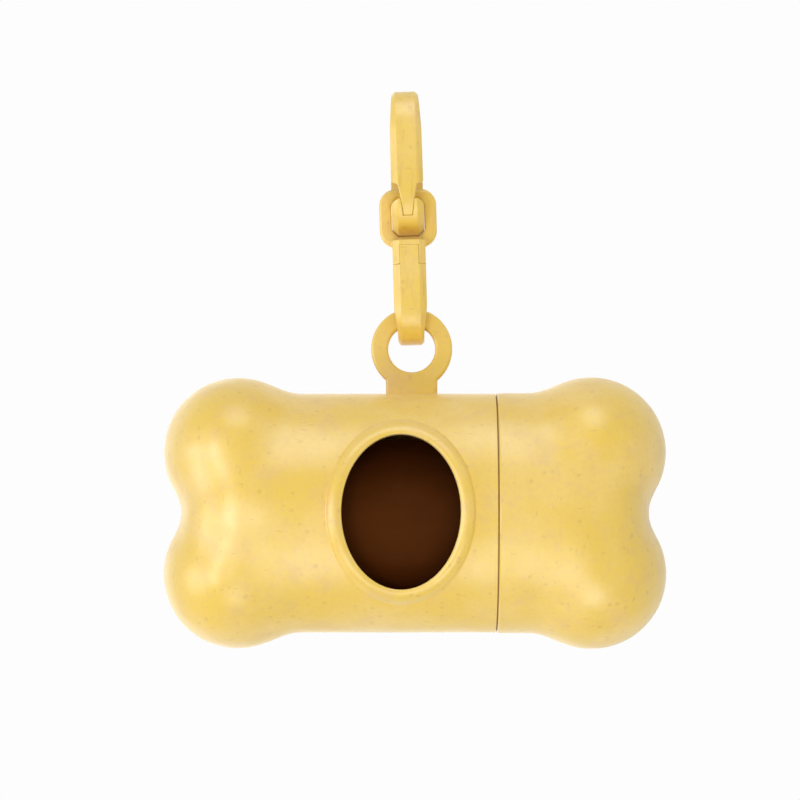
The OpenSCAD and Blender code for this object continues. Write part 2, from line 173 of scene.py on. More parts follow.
class LeashClipSizes(PropertyGroup):
    pitch: length("Pitch", "Distance between the middles of the clip's two bends", 10.6)
    bend_r: length("Bend radius", "Outside radius of the bends, seen from the side", 7)
    bar: length("Bar", "Thickness of the bar, seen from the side", 2.6)
    base_w: length("Base width", "Width of the clip at its base", 5.5)
    root_w: length("Root width", "Width of the clip at the root of its arm", 5.3)
    top_w: length("Top width", "Width of the clip at the top of its bend", 4.5)
    floor: length("Floor", "Depth of the clip's floor below the middle of the lower bend", 1.2)
    bevel: length("Bevel", "Cut of the long edges", 1.05)
    base_round: length("Base corners", "Rounding of the base's top corners", 1.4)
    arm_t: length("Arm thickness", "Thickness of the sprung arm", 1.8)
    arm_taper: length("Arm taper", "Length over which the arm thins out below its root", 4)
    neck_w: length("Neck width", "Width of the arm where it passes in front of the eye", 3.2)
    throat_w: length("Throat width", "Width of the tongue where it enters the base", 2.3)
    tongue_w: length("Tongue width", "Width of the tongue at its end", 1.5)
    tongue_len: length("Tongue length", "Length of the tongue below the floor", 2.7)
    gap: length("Gap", "Gap round the tongue in its groove", 0.035)
    edge: length("Edge", "Softness of the long edges", 0.08)


class LinkClipSizes(PropertyGroup):
    length: length("Length", "From the middle of the eye's top bar to the lowest point", 25.5)
    eye_w: length("Eye width", "Width of the eye", 9.7)
    window_gap: length("Window gap", "Gap between the eye's window and the base of the leash clip", 0.05)
    eye_h: length("Eye height", "From the middle of the eye's top bar to the eye's lower edge", 8.95)
    top_bar_d: length("Top bar", "Diameter of the eye's top bar", 2.1)
    eye_t: length("Eye thickness", "Thickness of the eye from front to back", 2.2)
    eye_corner: length("Eye corner", "Rounding of the eye's outer corners", 2.9)
    bend_r: length("Bend radius", "Outside radius of the bend, seen from the side", 6.5)
    bar: length("Bar", "Thickness of the bar that the eyelet hangs on", 2.7)
    width: length("Width", "Width of the link clip below its eye", 5.6)
    bend_w: length("Bend width", "Width of the bar that the eyelet hangs on", 4.4)
    block_top: length("Block top", "From the middle of the eye's top bar to the top of the block", 8.075)
    block_h: length("Block height", "Height of the solid block under the eye", 4.1)
    groove_drop: length("Groove drop", "From the top of the block to the top of its groove", 0.85)
    bevel: length("Bevel", "Cut of the long edges", 1.1)
    bar_bevel: length("Bar bevel", "Cut of the bar's top corners inside the eyelet", 0.5)
    seat: length("Seat", "Half the width of the flat in the bar, from front to back", 1.9)
    arm_t: length("Arm thickness", "Thickness of the sprung arm", 1.8)
    arm_taper: length("Arm taper", "Length over which the arm thins out above its root", 4)
    tongue_w: length("Tongue width", "Width of the arm's tongue", 3.2)
    gap: length("Gap", "Gap round the tongue in its groove", 0.02)
    edge: length("Edge", "Softness of the long edges", 0.08)


class RollSizes(PropertyGroup):
    roll_d: length("Roll diameter", "Outside diameter of a full roll", 30)
    roll_len: length("Roll length", "Length of the roll", 60)
    core_d: length("Core diameter", "Outside diameter of the paperboard core", 14)
    core_wall: length("Core wall", "Wall of the core", 1)
    film_t: length("Film", "Thickness of one wound layer, drawn thicker than real film", 0.26)
    turns: IntProperty(name="Turns", description="Turns of film that are drawn", default=22)
    wrinkle: length("Wrinkle", "Depth of the wrinkles in the outer turns", 0.25)


class Colours(PropertyGroup):
    straw: colour("Straw yellow", "Main colour of the straw-filled plastic", "#ECC74F")
    straw_pale: colour("Pale straw", "Paler patches of the plastic", "#F1CE70")
    straw_rose: colour("Rose straw", "Pinkish grey patches of the plastic", "#DFB778")
    straw_fleck: colour("Fleck", "Colour of the straw flecks and fibres", "#A87F45")
    film: colour("Film", "Colour of the bag film", "#4A2509")
    board: colour("Board", "Colour of the paperboard core", "#B08A5B")
    floor: colour("Floor", "Colour of the floor", "#EFEDEA")
    backdrop: colour("Backdrop", "Colour behind the object", "#FDFDFD")


class StageSizes(PropertyGroup):
    camera_x: length("Camera across", "Place of the camera along X", -0.943)
    camera_y: length("Camera back", "Distance of the camera in front of the object", -600)
    camera_z: length("Camera height", "Height of the camera", -72)
    view_z: length("View height", "Height of the picture's middle at the object", -45.347)
    view_w: length("View width", "Width of the view at the object", 135.2)
    floor_z: length("Floor height", "Height of the floor", -900)
    floor_r: length("Floor radius", "Radius of the floor", 450)


def in_mm(group):
    """The lengths of a property group in millimetres, and its plain numbers as they are."""
    values = {}
    for name, prop in group.bl_rna.properties.items():
        if prop.type == "FLOAT" and not prop.is_array:
            values[name] = getattr(group, name) / (MM if prop.unit == "LENGTH" else 1)
        elif prop.type == "INT":
            values[name] = getattr(group, name)
    return SimpleNamespace(**values)


# Meshes

def make_piece(name, points, faces, material, sharp=40):
    """A smooth-shaded closed piece from points in millimetres. Loose points go, and faces point outwards."""
    mesh = bpy.data.meshes.new(name)
    mesh.from_pydata((np.asarray(points) * MM).tolist(), [], [list(map(int, f)) for f in faces])
    work = bmesh.new()
    work.from_mesh(mesh)
    loose = [v for v in work.verts if not v.link_faces]
    bmesh.ops.delete(work, geom=loose, context="VERTS")
    bmesh.ops.recalc_face_normals(work, faces=work.faces)
    if work.calc_volume(signed=True) < 0:
        bmesh.ops.reverse_faces(work, faces=work.faces)
    open_edges = sum(1 for e in work.edges if len(e.link_faces) != 2)
    work.to_mesh(mesh)
    work.free()
    if open_edges:
        raise RuntimeError(f"{name} has {open_edges} open edges")
    mesh.shade_smooth()
    mesh.set_sharp_from_angle(angle=math.radians(sharp))
    mesh.materials.append(material)
    piece = bpy.data.objects.new(name, mesh)
    bpy.context.scene.collection.objects.link(piece)
    return piece


class Skin:
    """Points and faces of one surface that is built up ring by ring."""

    def __init__(self):
        self.points = []
        self.faces = []

    def ring(self, points):
        """Adds points and gives their numbers."""
        start = len(self.points)
        self.points.extend(points)
        return list(range(start, len(self.points)))

    def join(self, a, b, skip=()):
        """Quads between two rings of points, apart from the skipped columns."""
        for j in range(len(a)):
            if j not in skip:
                k = (j + 1) % len(a)
                self.faces.append((a[j], a[k], b[k], b[j]))

    def chain(self, rows, skip=()):
        """Quads between each ring and the next."""
        for a, b in zip(rows, rows[1:]):
            self.join(a, b, skip)

    def close(self, tip, row):
        """A fan from one point to a ring."""
        centre = self.ring([tip])[0]
        for j in range(len(row)):
            self.faces.append((centre, row[j], row[(j + 1) % len(row)]))


def surface_net(distance, low, high, cell):
    """Meshes the surface where a distance is zero: one point per crossed cell, settled on the surface."""
    axes = [np.arange(a, b + cell, cell) for a, b in zip(low, high)]
    field = distance(*np.meshgrid(*axes, indexing="ij"))
    inside = field < 0
    shape = np.array(field.shape)
    corners = list(itertools.product((0, 1), repeat=3))

    def corner(values, at):
        """The values at one corner of every cell."""
        return values[tuple(slice(o, n - 1 + o) for o, n in zip(at, shape))]

    filled = sum(corner(inside, c).astype(np.int8) for c in corners)
    active = (filled > 0) & (filled < 8)
    cells = np.argwhere(active)
    index = np.full(active.shape, -1)
    index[active] = np.arange(len(cells))
    total = np.zeros((len(cells), 3))
    hits = np.zeros(len(cells))
    for axis in range(3):
        step = np.eye(3, dtype=int)[axis]
        for c in corners:
            if c[axis]:
                continue
            a = corner(field, c)[active]
            b = corner(field, tuple(np.array(c) + step))[active]
            crossed = (a < 0) != (b < 0)
            share = a[crossed] / (a[crossed] - b[crossed])
            total[crossed] += np.array(c) + share[:, None] * step
            hits[crossed] += 1
    points = np.array(low) + (cells + total / hits[:, None]) * cell
    faces = []
    for axis in range(3):
        u, v = (axis + 1) % 3, (axis + 2) % 3
        inner = [slice(1, n - 1) for n in shape]
        inner[axis] = slice(0, shape[axis] - 1)
        ahead = list(inner)
        ahead[axis] = slice(1, shape[axis])
        first, second = inside[tuple(inner)], inside[tuple(ahead)]
        spots = np.argwhere(first != second)
        offset = np.ones(3, dtype=int)
        offset[axis] = 0
        spots = spots + offset
        around = []
        for du, dv in ((1, 1), (0, 1), (0, 0), (1, 0)):
            at = spots.copy()
            at[:, u] -= du
            at[:, v] -= dv
            around.append(index[at[:, 0], at[:, 1], at[:, 2]])
        quads = np.stack(around, axis=1)
        flip = ~inside[spots[:, 0], spots[:, 1], spots[:, 2]]
        quads[flip] = quads[flip][:, ::-1]
        faces.append(quads)
    return settle(points, distance, cell), np.concatenate(faces)


def settle(points, distance, cell):
    """Moves points onto the surface along the slope of the distance, by at most a cell in all."""
    probe = 0.01
    start = points.copy()
    for _ in range(4):
        slope = []
        for step in probe * np.eye(3):
            slope.append((distance(*(points + step).T) - distance(*(points - step).T)) / (2 * probe))
        slope = np.stack(slope, axis=1)
        size = np.maximum((slope ** 2).sum(axis=1), 0.25)
        points = points - (distance(*points.T) / size)[:, None] * slope
        moved = points - start
        reach = np.linalg.norm(moved, axis=1, keepdims=True)
        points = start + moved * np.minimum(1, cell / np.maximum(reach, 1e-9))
    return points


# Distances: negative inside a shape, positive outside

def soft_min(a, b, k):
    """Smooth union, rounded over the width k."""
    return np.minimum(a, b) - np.maximum(k - np.abs(a - b), 0) ** 2 / (4 * k)


def soft_max(a, b, k):
    """Smooth intersection, rounded over the width k."""
    return -soft_min(-a, -b, k)


def both(a, b, r):
    """Intersection with its edge rounded to the radius r."""
    return np.minimum(np.maximum(a, b), -r) + np.hypot(np.maximum(a + r, 0), np.maximum(b + r, 0))


def either(a, b, r):
    """Union with its inner corner filled to the radius r."""
    return -both(-a, -b, r)


def bevelled(a, b, cut, soft):
    """Intersection with its edge cut at 45 degrees, and that cut's own edges softened."""
    return soft_max(soft_max(a, b, soft), (a + b + cut) * math.sqrt(0.5), soft)


def slab(value, low, high):
    """The space between two levels."""
    return np.maximum(low - value, value - high)


def stadium(y, z, low, r):
    """Side view of a clip: two round ends of radius r, one at z = 0 and the other at z = low."""
    return np.hypot(y, z - np.clip(z, low, 0)) - r


def width_at(z, places):
    """Half the width at a height, from a list of heights and widths."""
    heights, widths = zip(*sorted(places))
    return np.interp(z, heights, widths) / 2


# The bone

def case_numbers(scene):
    """The sizes of the case and what follows from them, in millimetres."""
    n = in_mm(scene.case_sizes)
    n.cap = in_mm(scene.cap_joint_sizes)
    n.hole = in_mm(scene.opening_sizes)
    n.bore_r = n.tube_r - n.wall
    n.lobe_r = n.lobe_d / 2
    n.lobe_x = n.half_len - n.lobe_r
    n.lobe_z = n.tube_r + n.lobe_rise - n.lobe_r
    n.lobe_y = n.tube_r - n.lobe_flat / 2
    n.nose_x = n.half_len - n.notch_depth - n.nose_len
    n.ray_x = n.lobe_x - n.lobe_r - n.blend / 2
    n.lap_r = n.bore_r + n.cap.lap_wall
    eyelet = in_mm(scene.eyelet_sizes)
    ring = joint_place("case_swing")
    n.place = np.array([ring[0] - eyelet.eyelet_x, 0, ring[2] - eyelet.rise - n.tube_r])
    return n


def bone_side(n, x, y, z, grow):
    """Distance of a point from one end of the bone, grown by grow on the radius."""
    size = n.tube_r + grow
    u = np.maximum(x - n.nose_x, 0) / (n.nose_len + grow)
    tube = ((u ** n.nose_power + (np.hypot(y, z) / size) ** n.nose_power) ** (1 / n.nose_power) - 1) * size
    size = n.lobe_r + grow
    flat = ((x - n.lobe_x) / size) ** 2 + (y / (n.lobe_y + grow)) ** 2
    upper, lower = (
        (np.sqrt(flat + ((z - side * n.lobe_z) / size) ** 2) - 1) * size for side in (1, -1)
    )
    return soft_min(tube, soft_min(upper, lower, n.blend), n.blend)


def reach_along(n, grow, dx, dy, dz):
    """How far the surface of the right end lies from the rays' start, by halving the range 40 times."""
    near, far = np.zeros(np.shape(dx)), np.full(np.shape(dx), 2 * n.half_len)
    for _ in range(40):
        middle = (near + far) / 2
        outside = bone_side(n, n.ray_x + middle * dx, middle * dy, middle * dz, grow) > 0
        far = np.where(outside, middle, far)
        near = np.where(outside, near, middle)
    return middle


def end_rings(n, turns, grow, limit=None):
    """Rings of the right end of the bone, from beside its tip to the plain tube, found along rays."""
    polar = np.radians(90) * (np.arange(1, END_ROWS + 1) / END_ROWS)[:, None]
    dx = np.broadcast_to(np.cos(polar), (END_ROWS, len(turns)))
    out = np.broadcast_to(np.sin(polar), (END_ROWS, len(turns)))
    dy, dz = -out * np.cos(turns), out * np.sin(turns)
    reach = reach_along(n, grow, dx, dy, dz)
    if limit is not None:
        reach = np.minimum(reach, limit / out)
    return np.stack([n.ray_x + reach * dx, reach * dy, reach * dz], axis=2)


def end_tip(n, grow):
    """The point where the right end crosses the bone's axis."""
    return np.array([n.ray_x + reach_along(n, grow, 1, 0, 0), 0, 0])


def tube_ring(turns, x, r):
    """Points round the tube. A turn of 0 is the front and 90 degrees the top. x and r may vary round it."""
    x, r = np.broadcast_to(x, turns.shape), np.broadcast_to(r, turns.shape)
    return np.stack([x, -r * np.cos(turns), r * np.sin(turns)], axis=1)


# Columns of the bone's mesh, in degrees round the tube: fine ones to both sides of the front, where the
# opening is, even ones behind, and beside the key only its own
FRONT_HALF = 57.6
FRONT_STEPS = 64
STEP = 1.8
KEY_ROOM = 1.4
# Rows on each end, stations along the tube, and how far the stations go on past the opening
END_ROWS = 64
STATIONS = 46
PAST_OPENING = 4


def columns(key_half):
    """Turns of the mesh's columns: even ones, first those of the front, with the key's sides at the top."""
    front = np.linspace(-FRONT_HALF, FRONT_HALF, FRONT_STEPS + 1)
    rest = np.arange(FRONT_HALF + STEP, 360 - FRONT_HALF - STEP / 2, STEP)
    top = key_half + KEY_ROOM
    rest = rest[(rest < 90 - top) | (rest > 90 + top)]
    key = [90 + side * (key_half + more) for side in (-1, 1) for more in (-0.05, 0.05, 0.7)]
    key += [90 + side * key_half / 2 for side in (-1, 0, 1)]
    return np.radians(np.concatenate([front, np.sort(np.concatenate([rest, key]))]))


def rounding(r, steps=5):
    """Steps along a quarter round: how far along and how far in, from 0, r to r, 0."""
    angles = np.linspace(0, math.pi / 2, steps)
    return [(r * (1 - math.cos(a)), r * (1 - math.sin(a))) for a in angles]


def rim_profile(n):
    """The rim from its outer foot to its inner edge: distance out from the opening, and height."""
    inner, foot = -0.3, 0.2
    middle, reach = (inner + n.hole.rim_w) / 2, (n.hole.rim_w - inner) / 2
    height = n.hole.rim_h

    def bead(angle):
        """A point of the rounded top of the rim."""
        return np.array([middle - reach * math.cos(angle), height * math.sin(angle)])

    def curve(a, b, c, count):
        """Points from a to c, on a curve that is bent towards b."""
        return [(1 - t) ** 2 * a + 2 * t * (1 - t) * b + t * t * c for t in np.linspace(0, 1, count)]

    low, high = math.radians(169), math.radians(50)
    start = bead(low)
    slope = height * math.cos(low) / (reach * math.sin(low))
    bend = np.array([start[0] - start[1] / slope, 0])
    rows = curve(np.array([n.hole.rim_w + foot, 0]), bend, start, 6)
    rows += [bead(a) for a in np.linspace(low, high, 14)[1:]]
    shoulder, edge = np.array([0, height * 0.78]), np.array([0, height * 0.62])
    return rows + curve(bead(high), shoulder, edge, 5)[1:]


def case_shell(scene):
    """The case body: its lobed end, the tube, the rimmed opening and the counterbore for the cap."""
    n = case_numbers(scene)
    hole, cap = n.hole, n.cap
    key_half = math.degrees(math.asin((cap.key_w / 2 + cap.lap_gap) / n.lap_r))
    turns = columns(key_half)
    keyed = np.abs(np.degrees(turns) - 90) < key_half
    skin = Skin()
    mirror = np.array([-1, 1, 1])
    left = -n.ray_x
    half_w, half_h = hole.opening_w / 2, hole.opening_h / 2
    right = hole.opening_x + half_w + PAST_OPENING
    lap_end = cap.seam_x - cap.lap_len - cap.lap_end_gap

    def oval(tau, grow, r):
        """Points of the opening's outline, moved out by grow, on a tube of radius r."""
        x = hole.opening_x + (half_w + grow) * np.cos(tau)
        z = (half_h + grow) * np.sin(tau)
        return np.stack([x, -np.sqrt(r * r - z * z), z], axis=1)

    def block_edge(rows):
        """The edge of the block that holds the opening, as one loop of a grid's points."""
        last = FRONT_STEPS
        loop = [row[0] for row in rows[:-1]] + rows[-1][:last]
        loop += [row[last] for row in rows[:0:-1]] + rows[0][last:0:-1]
        return loop

    def patch(loop, tau, r, grow, steps, power):
        """Rings between the block's edge and the opening, on a tube of radius r."""
        edge = np.array([skin.points[i] for i in loop])
        aim = oval(tau, grow, r)
        turn_a, turn_b = np.arcsin(edge[:, 2] / r), np.arcsin(aim[:, 2] / r)
        rows = [loop]
        for step in range(1, steps + 1):
            share = (step / steps) ** power
            turn = turn_a + (turn_b - turn_a) * share
            x = edge[:, 0] + (aim[:, 0] - edge[:, 0]) * share
            rows.append(skin.ring(np.stack([x, -r * np.cos(turn), r * np.sin(turn)], axis=1)))
        skin.chain(rows)
        return rows[-1]

    outer = [skin.ring(ring) for ring in end_rings(n, turns, 0) * mirror]
    skin.close(end_tip(n, 0) * mirror, outer[0])
    skin.chain(outer)
    tube = [outer[-1]]
    tube += [skin.ring(tube_ring(turns, x, n.tube_r)) for x in np.linspace(left, right, STATIONS + 1)[1:]]
    block = range(FRONT_STEPS)
    skin.chain(tube, skip=block)
    loop = block_edge(tube)
    spots = np.array([skin.points[i] for i in loop])
    profile = rim_profile(n)
    foot = profile[0][0]
    tau = np.arctan2(spots[:, 2] / (half_h + foot), (spots[:, 0] - hole.opening_x) / (half_w + foot))
    rim = [patch(loop, tau, n.tube_r, foot, 6, 0.8)]
    rim += [skin.ring(oval(tau, out, n.tube_r + up)) for out, up in profile[1:]]
    lip = oval(tau, 0, n.tube_r + profile[-1][1])
    sill = oval(tau, 0, n.bore_r)
    rim += [skin.ring(lip + (sill - lip) * share) for share in (0.08, 0.3, 0.55, 0.8, 0.95)]
    skin.chain(rim)
    seam = [tube[-1]]
    round_x = cap.seam_x - cap.body_round
    seam += [skin.ring(tube_ring(turns, x, n.tube_r)) for x in (round_x - 1.2, round_x - 0.5, round_x - 0.1)]
    for along, drop in rounding(cap.body_round)[::-1]:
        seam.append(skin.ring(tube_ring(turns, cap.seam_x - along, n.tube_r - drop)))
    slot_r = np.where(keyed, n.lap_r + cap.key_h + cap.lap_gap, n.lap_r)
    inset = n.tube_r - cap.body_round - 0.08
    for x, r in (
        (cap.seam_x, inset), (cap.seam_x, slot_r + 0.12), (cap.seam_x - 0.12, slot_r),
        (cap.seam_x - 0.3, slot_r), ((cap.seam_x + lap_end) / 2, slot_r), (lap_end + 0.1, slot_r),
        (lap_end, slot_r), (lap_end, n.bore_r + 0.1),
    ):
        seam.append(skin.ring(tube_ring(turns, x, r)))
    inner_x = np.linspace(left, lap_end, STATIONS + 1)
    bore = [skin.ring(tube_ring(turns, x, n.bore_r)) for x in inner_x]
    seam.append(bore[-1])
    skin.chain(seam)
    skin.chain(bore, skip=block)
    inner_loop = block_edge(bore)
    skin.join(patch(inner_loop, tau, n.bore_r, 0, 4, 1), rim[-1])
    ends = end_rings(n, turns, -n.end_wall, limit=n.bore_r)[:-1] * mirror
    inner = [skin.ring(ring) for ring in ends]
    skin.close(end_tip(n, -n.end_wall) * mirror, inner[0])
    skin.chain(inner + [bore[0]])
    return np.array(skin.points) + n.place, skin.faces


def cap_shell(scene):
    """The cap: the other lobed end, with the keyed spigot that slides into the body."""
    n = case_numbers(scene)
    cap = n.cap
    spigot_r = n.lap_r - cap.lap_gap
    key_half = math.degrees(math.asin(cap.key_w / 2 / spigot_r))
    turns = columns(key_half)
    keyed = np.abs(np.degrees(turns) - 90) < key_half
    skin = Skin()
    face_x = cap.seam_x + cap.seam_gap
    tip_x = cap.seam_x - cap.lap_len
    radius = n.tube_r + cap.cap_step
    outer = [skin.ring(ring) for ring in end_rings(n, turns, cap.cap_step)]
    skin.close(end_tip(n, cap.cap_step), outer[0])
    round_x = face_x + cap.cap_round
    rows = outer + [
        skin.ring(tube_ring(turns, x, radius)) for x in np.linspace(n.ray_x, round_x + 0.1, 5)[1:]
    ]
    for along, drop in rounding(cap.cap_round, 7)[::-1]:
        rows.append(skin.ring(tube_ring(turns, face_x + along, radius - drop)))
    key_r = np.where(keyed, n.lap_r + cap.key_h, spigot_r)
    for x, r in (
        (face_x, radius - cap.cap_round - 0.08), (face_x, key_r + 0.08), (face_x, key_r),
        (face_x - 0.1, key_r), (tip_x + 1.2, key_r), (tip_x + 1, key_r - 0.2 * keyed),
        (tip_x + 1, spigot_r), (tip_x + 0.9, spigot_r), (tip_x + 0.4, spigot_r),
        (tip_x, spigot_r - 0.3), (tip_x, n.bore_r + 0.2), (tip_x + 0.2, n.bore_r),
    ):
        rows.append(skin.ring(tube_ring(turns, x, r)))
    rows += [skin.ring(tube_ring(turns, x, n.bore_r)) for x in np.linspace(tip_x + 0.4, n.ray_x - 0.3, 8)]
    inner = [skin.ring(ring) for ring in end_rings(n, turns, -n.end_wall, limit=n.bore_r)]
    skin.chain(rows + inner[::-1])
    skin.close(end_tip(n, -n.end_wall), inner[0])
    return np.array(skin.points) + n.place, skin.faces


def eyelet_distance(scene):
    """The eyelet: a flat ring on a foot that stands in the tube's wall."""
    n = case_numbers(scene)
    e = in_mm(scene.eyelet_sizes)
    ring = joint_place("case_swing")
    sunk = 1

    def distance(x, y, z):
        across, up = x - ring[0], z - ring[2]
        round_part = np.hypot(across, up) - e.hole_d / 2 - e.band
        foot = np.maximum(np.abs(across) - e.foot_w / 2, slab(up, -e.rise - sunk, -e.hole_d / 2))
        outline = np.maximum(np.minimum(round_part, foot), e.hole_d / 2 - np.hypot(across, up))
        sheet = both(outline, np.abs(y) - e.thick / 2, e.edge)
        depth = n.tube_r - sunk - np.hypot(y, z - n.place[2])
        return np.maximum(sheet, depth)

    room = 0.5
    half = e.hole_d / 2 + e.band + room
    low = (ring[0] - half, -e.thick, ring[2] - e.rise - sunk - room)
    high = (ring[0] + half, e.thick, ring[2] + half)
    return distance, low, high


# The clips, upright, and each parted across its bend into a fixed piece and the piece with its sprung arm

# Half the gap between a clip and its arm, where the bend is parted
PARTING = 0.005
# Sizes of the cells in which the eyelet, the clips and their arms are meshed
EYELET_CELL = 0.16
CLIP_CELL = 0.14
ARM_CELL = 0.12


def roomy(low, high):
    """The two corners of a box with some room for the mesher on all sides."""
    room = 0.4
    return [v - room for v in low], [v + room for v in high]


def leash_outside(c, x, y, z):
    """Outer shape of the leash clip and its arm, narrower towards the top."""
    widths = [(-c.pitch - c.floor, c.base_w), (0, c.root_w), (c.bend_r, c.top_w)]
    side = np.abs(x)
    round_ends = bevelled(stadium(y, z, -c.pitch, c.bend_r), side - c.base_w / 2, c.bevel, c.edge)
    return soft_max(round_ends, side - width_at(z, widths), c.edge)


def leash_arm_half(c, z):
    """Half the width of the leash clip's arm at each height: its shoulders, its neck and its tongue."""
    base_top = -c.pitch - c.floor
    neck_top, shoulder = base_top + 2.5, base_top + 3
    full_w = c.base_w + 0.4
    return width_at(z, [
        (base_top - c.tongue_len, c.tongue_w), (base_top, c.throat_w), (neck_top, c.neck_w),
        (shoulder, full_w), (shoulder + 1, full_w),
    ])


def leash_clip_distance(scene):
    """Leash clip without its arm: the back of the top bend, the spine and the grooved base."""
    c = in_mm(scene.leash_clip_sizes)
    base_top = -c.pitch - c.floor
    inner = c.bend_r - c.bar
    swing = c.pitch + c.floor + c.tongue_len + c.gap
    groove_r = c.bend_r - c.arm_t - c.gap

    def distance(x, y, z):
        side = np.abs(x)
        base = both(side - c.base_w / 2, z - base_top + 0.1, c.base_round) - 0.1
        kept = either(base, inner - y, 0.6)
        kept = np.minimum(kept, np.maximum(-z, PARTING - y))
        body = both(leash_outside(c, x, y, z), kept, 0.08)
        body = both(body, inner - np.hypot(y, z), 0.3)
        groove = np.maximum(side - leash_arm_half(c, z) - c.gap, groove_r - np.hypot(y, z + c.pitch))
        groove = np.maximum(groove, np.hypot(y + c.bend_r - c.arm_t / 2, z) - swing)
        groove = np.maximum(groove, np.maximum(z - base_top - 1, y))
        return both(body, -groove, 0.08)

    half = c.base_w / 2
    return distance, *roomy((-half, -c.bend_r, -c.pitch - c.bend_r), (half, c.bend_r, c.bend_r))


def leash_arm_distance(scene):
    """Front of the leash clip's top bend and its sprung arm, which thins out below its root."""
    c = in_mm(scene.leash_clip_sizes)
    swing = c.pitch + c.floor + c.tongue_len

    def distance(x, y, z):
        thick = np.interp(z, (-c.arm_taper, 0), (c.arm_t, c.bar))
        inner = c.bend_r - thick - np.hypot(y, z - np.clip(z, -c.pitch, 0))
        bar = both(leash_outside(c, x, y, z), inner, 0.3)
        bar = both(bar, np.abs(x) - leash_arm_half(c, z), 0.1)
        bar = both(bar, np.hypot(y + c.bend_r - c.arm_t / 2, z) - swing, 0.1)
        return np.maximum(bar, y + PARTING)

    half = c.base_w / 2
    return distance, *roomy((-half, -c.bend_r, -c.pitch - c.bend_r), (half, 0, c.bend_r))


def link_numbers(scene):
    """The link clip's sizes, and its main heights measured from the middle of the eye's top bar."""
    c = in_mm(scene.link_clip_sizes)
    c.bend_z = c.bend_r - c.length
    c.in_r = c.bend_r - c.bar
    c.floor = c.bar - c.length
    c.block_bottom = -c.block_top - c.block_h
    c.groove_top = -c.block_top - c.groove_drop
    c.pivot_z = -down_chain("link_swing")
    return c


def link_outside(c, x, y, z):
    """Outer shape of the link clip below its eye, and of its arm, with the seat of the eyelet in its bar."""
    side = np.abs(x)
    widths = [(c.floor - 1, c.bend_w), (c.bend_z, c.width)]
    outline = np.hypot(y, np.minimum(z - c.bend_z, 0)) - c.bend_r
    body = bevelled(outline, side - c.width / 2, c.bevel, c.edge)
    body = soft_max(body, side - width_at(z, widths), c.edge)
    body = np.maximum(body, z + c.block_top)
    flat = np.maximum(np.abs(y) - c.seat, slab(z, c.floor, c.bend_z))
    corner = (side + z - c.bend_w / 2 - c.floor + c.bar_bevel) * math.sqrt(0.5)
    wedge = np.maximum(np.maximum(np.abs(y) - c.seat, z - c.bend_z), -corner)
    return np.maximum(body, -np.minimum(flat, wedge))


def link_clip_distance(scene):
    """Link clip without its arm: the eye, the grooved block, the spine and the back of the bend."""
    c = link_numbers(scene)
    leash = in_mm(scene.leash_clip_sizes)
    bar_r = c.top_bar_d / 2
    window_w = leash.base_w + 2 * c.window_gap
    reach = leash.bend_r + c.window_gap

    def distance(x, y, z):
        z = z - c.pivot_z
        side = np.abs(x)
        kept = either(c.block_bottom - z, c.in_r - y, 0.6)
        kept = np.minimum(kept, np.maximum(z - c.bend_z, PARTING - y))
        body = both(link_outside(c, x, y, z), kept, 0.08)
        body = both(body, c.in_r - np.hypot(y, z - c.bend_z), 0.3)
        groove = np.maximum(side - c.tongue_w / 2 - c.gap, z - c.groove_top)
        groove = np.maximum(groove, y + c.bend_r - c.arm_t - c.gap)
        groove = np.maximum(groove, c.block_bottom - 1 - z)
        body = both(body, -groove, 0.04)
        ring = both(side - c.eye_w / 2, slab(z, -c.eye_h, bar_r), c.eye_corner)
        window = octagon(x, z, window_w, -reach, -bar_r, leash.bevel, 0.7)
        eye = both(ring, np.abs(y) - c.eye_t / 2, 0.55)
        # The top bar is round in the window, so that it can turn on the base
        near = np.clip(z / bar_r + 2, 0, 1) * np.clip(window_w / 2 - side, 0, 1)
        eye = both(eye, np.hypot(y, np.maximum(z, 0) + np.minimum(z, 0) * near) - bar_r, 0.1)
        eye = both(eye, -window, 0.3)
        return either(body, eye, 0.25)

    half = c.eye_w / 2
    return distance, *roomy((-half, -c.bend_r, c.pivot_z - c.length), (half, c.bend_r, c.pivot_z + bar_r))


def octagon(x, z, width, low, high, cut_low, cut_high):
    """A rectangle across X and Z with its four corners cut."""
    side = np.abs(x) - width / 2
    edge = np.maximum(side, slab(z, low, high))
    upper = (side + z - high + cut_high) * math.sqrt(0.5)
    lower = (side + low - z + cut_low) * math.sqrt(0.5)
    return np.maximum(edge, np.maximum(upper, lower))


def link_arm_distance(scene):
    """Front of the link clip's bend and its sprung arm, with the tongue that sits in the block."""
    c = link_numbers(scene)

    def distance(x, y, z):
        z = z - c.pivot_z
        thick = np.interp(z, (c.bend_z, c.bend_z + c.arm_taper), (c.bar, c.arm_t))
        inner = c.bend_r - thick - np.hypot(y, np.minimum(z - c.bend_z, 0))
        bar = both(link_outside(c, x, y, z), inner, 0.3)
        tongue = np.maximum(np.abs(x) - c.tongue_w / 2, z - c.groove_top + c.gap)
        bar = both(bar, np.minimum(tongue, z - c.block_bottom + c.gap), 0.04)
        return np.maximum(bar, y + PARTING)

    half = c.width / 2
    return distance, *roomy((-half, -c.bend_r, c.pivot_z - c.length), (half, 0, c.pivot_z + c.groove_top))


def net_piece(scene, name, shape, cell, clip=True):
    """A piece meshed from a distance. A clip's piece is built upright, and then hung at the clips' lean."""
    distance, low, high = shape(scene)
    points, faces = surface_net(distance, low, high, cell)
    if clip:
        points = chain_points(points)
    return make_piece(name, points, faces, plastic(scene, streaks=clip), sharp=60)


# Nodes

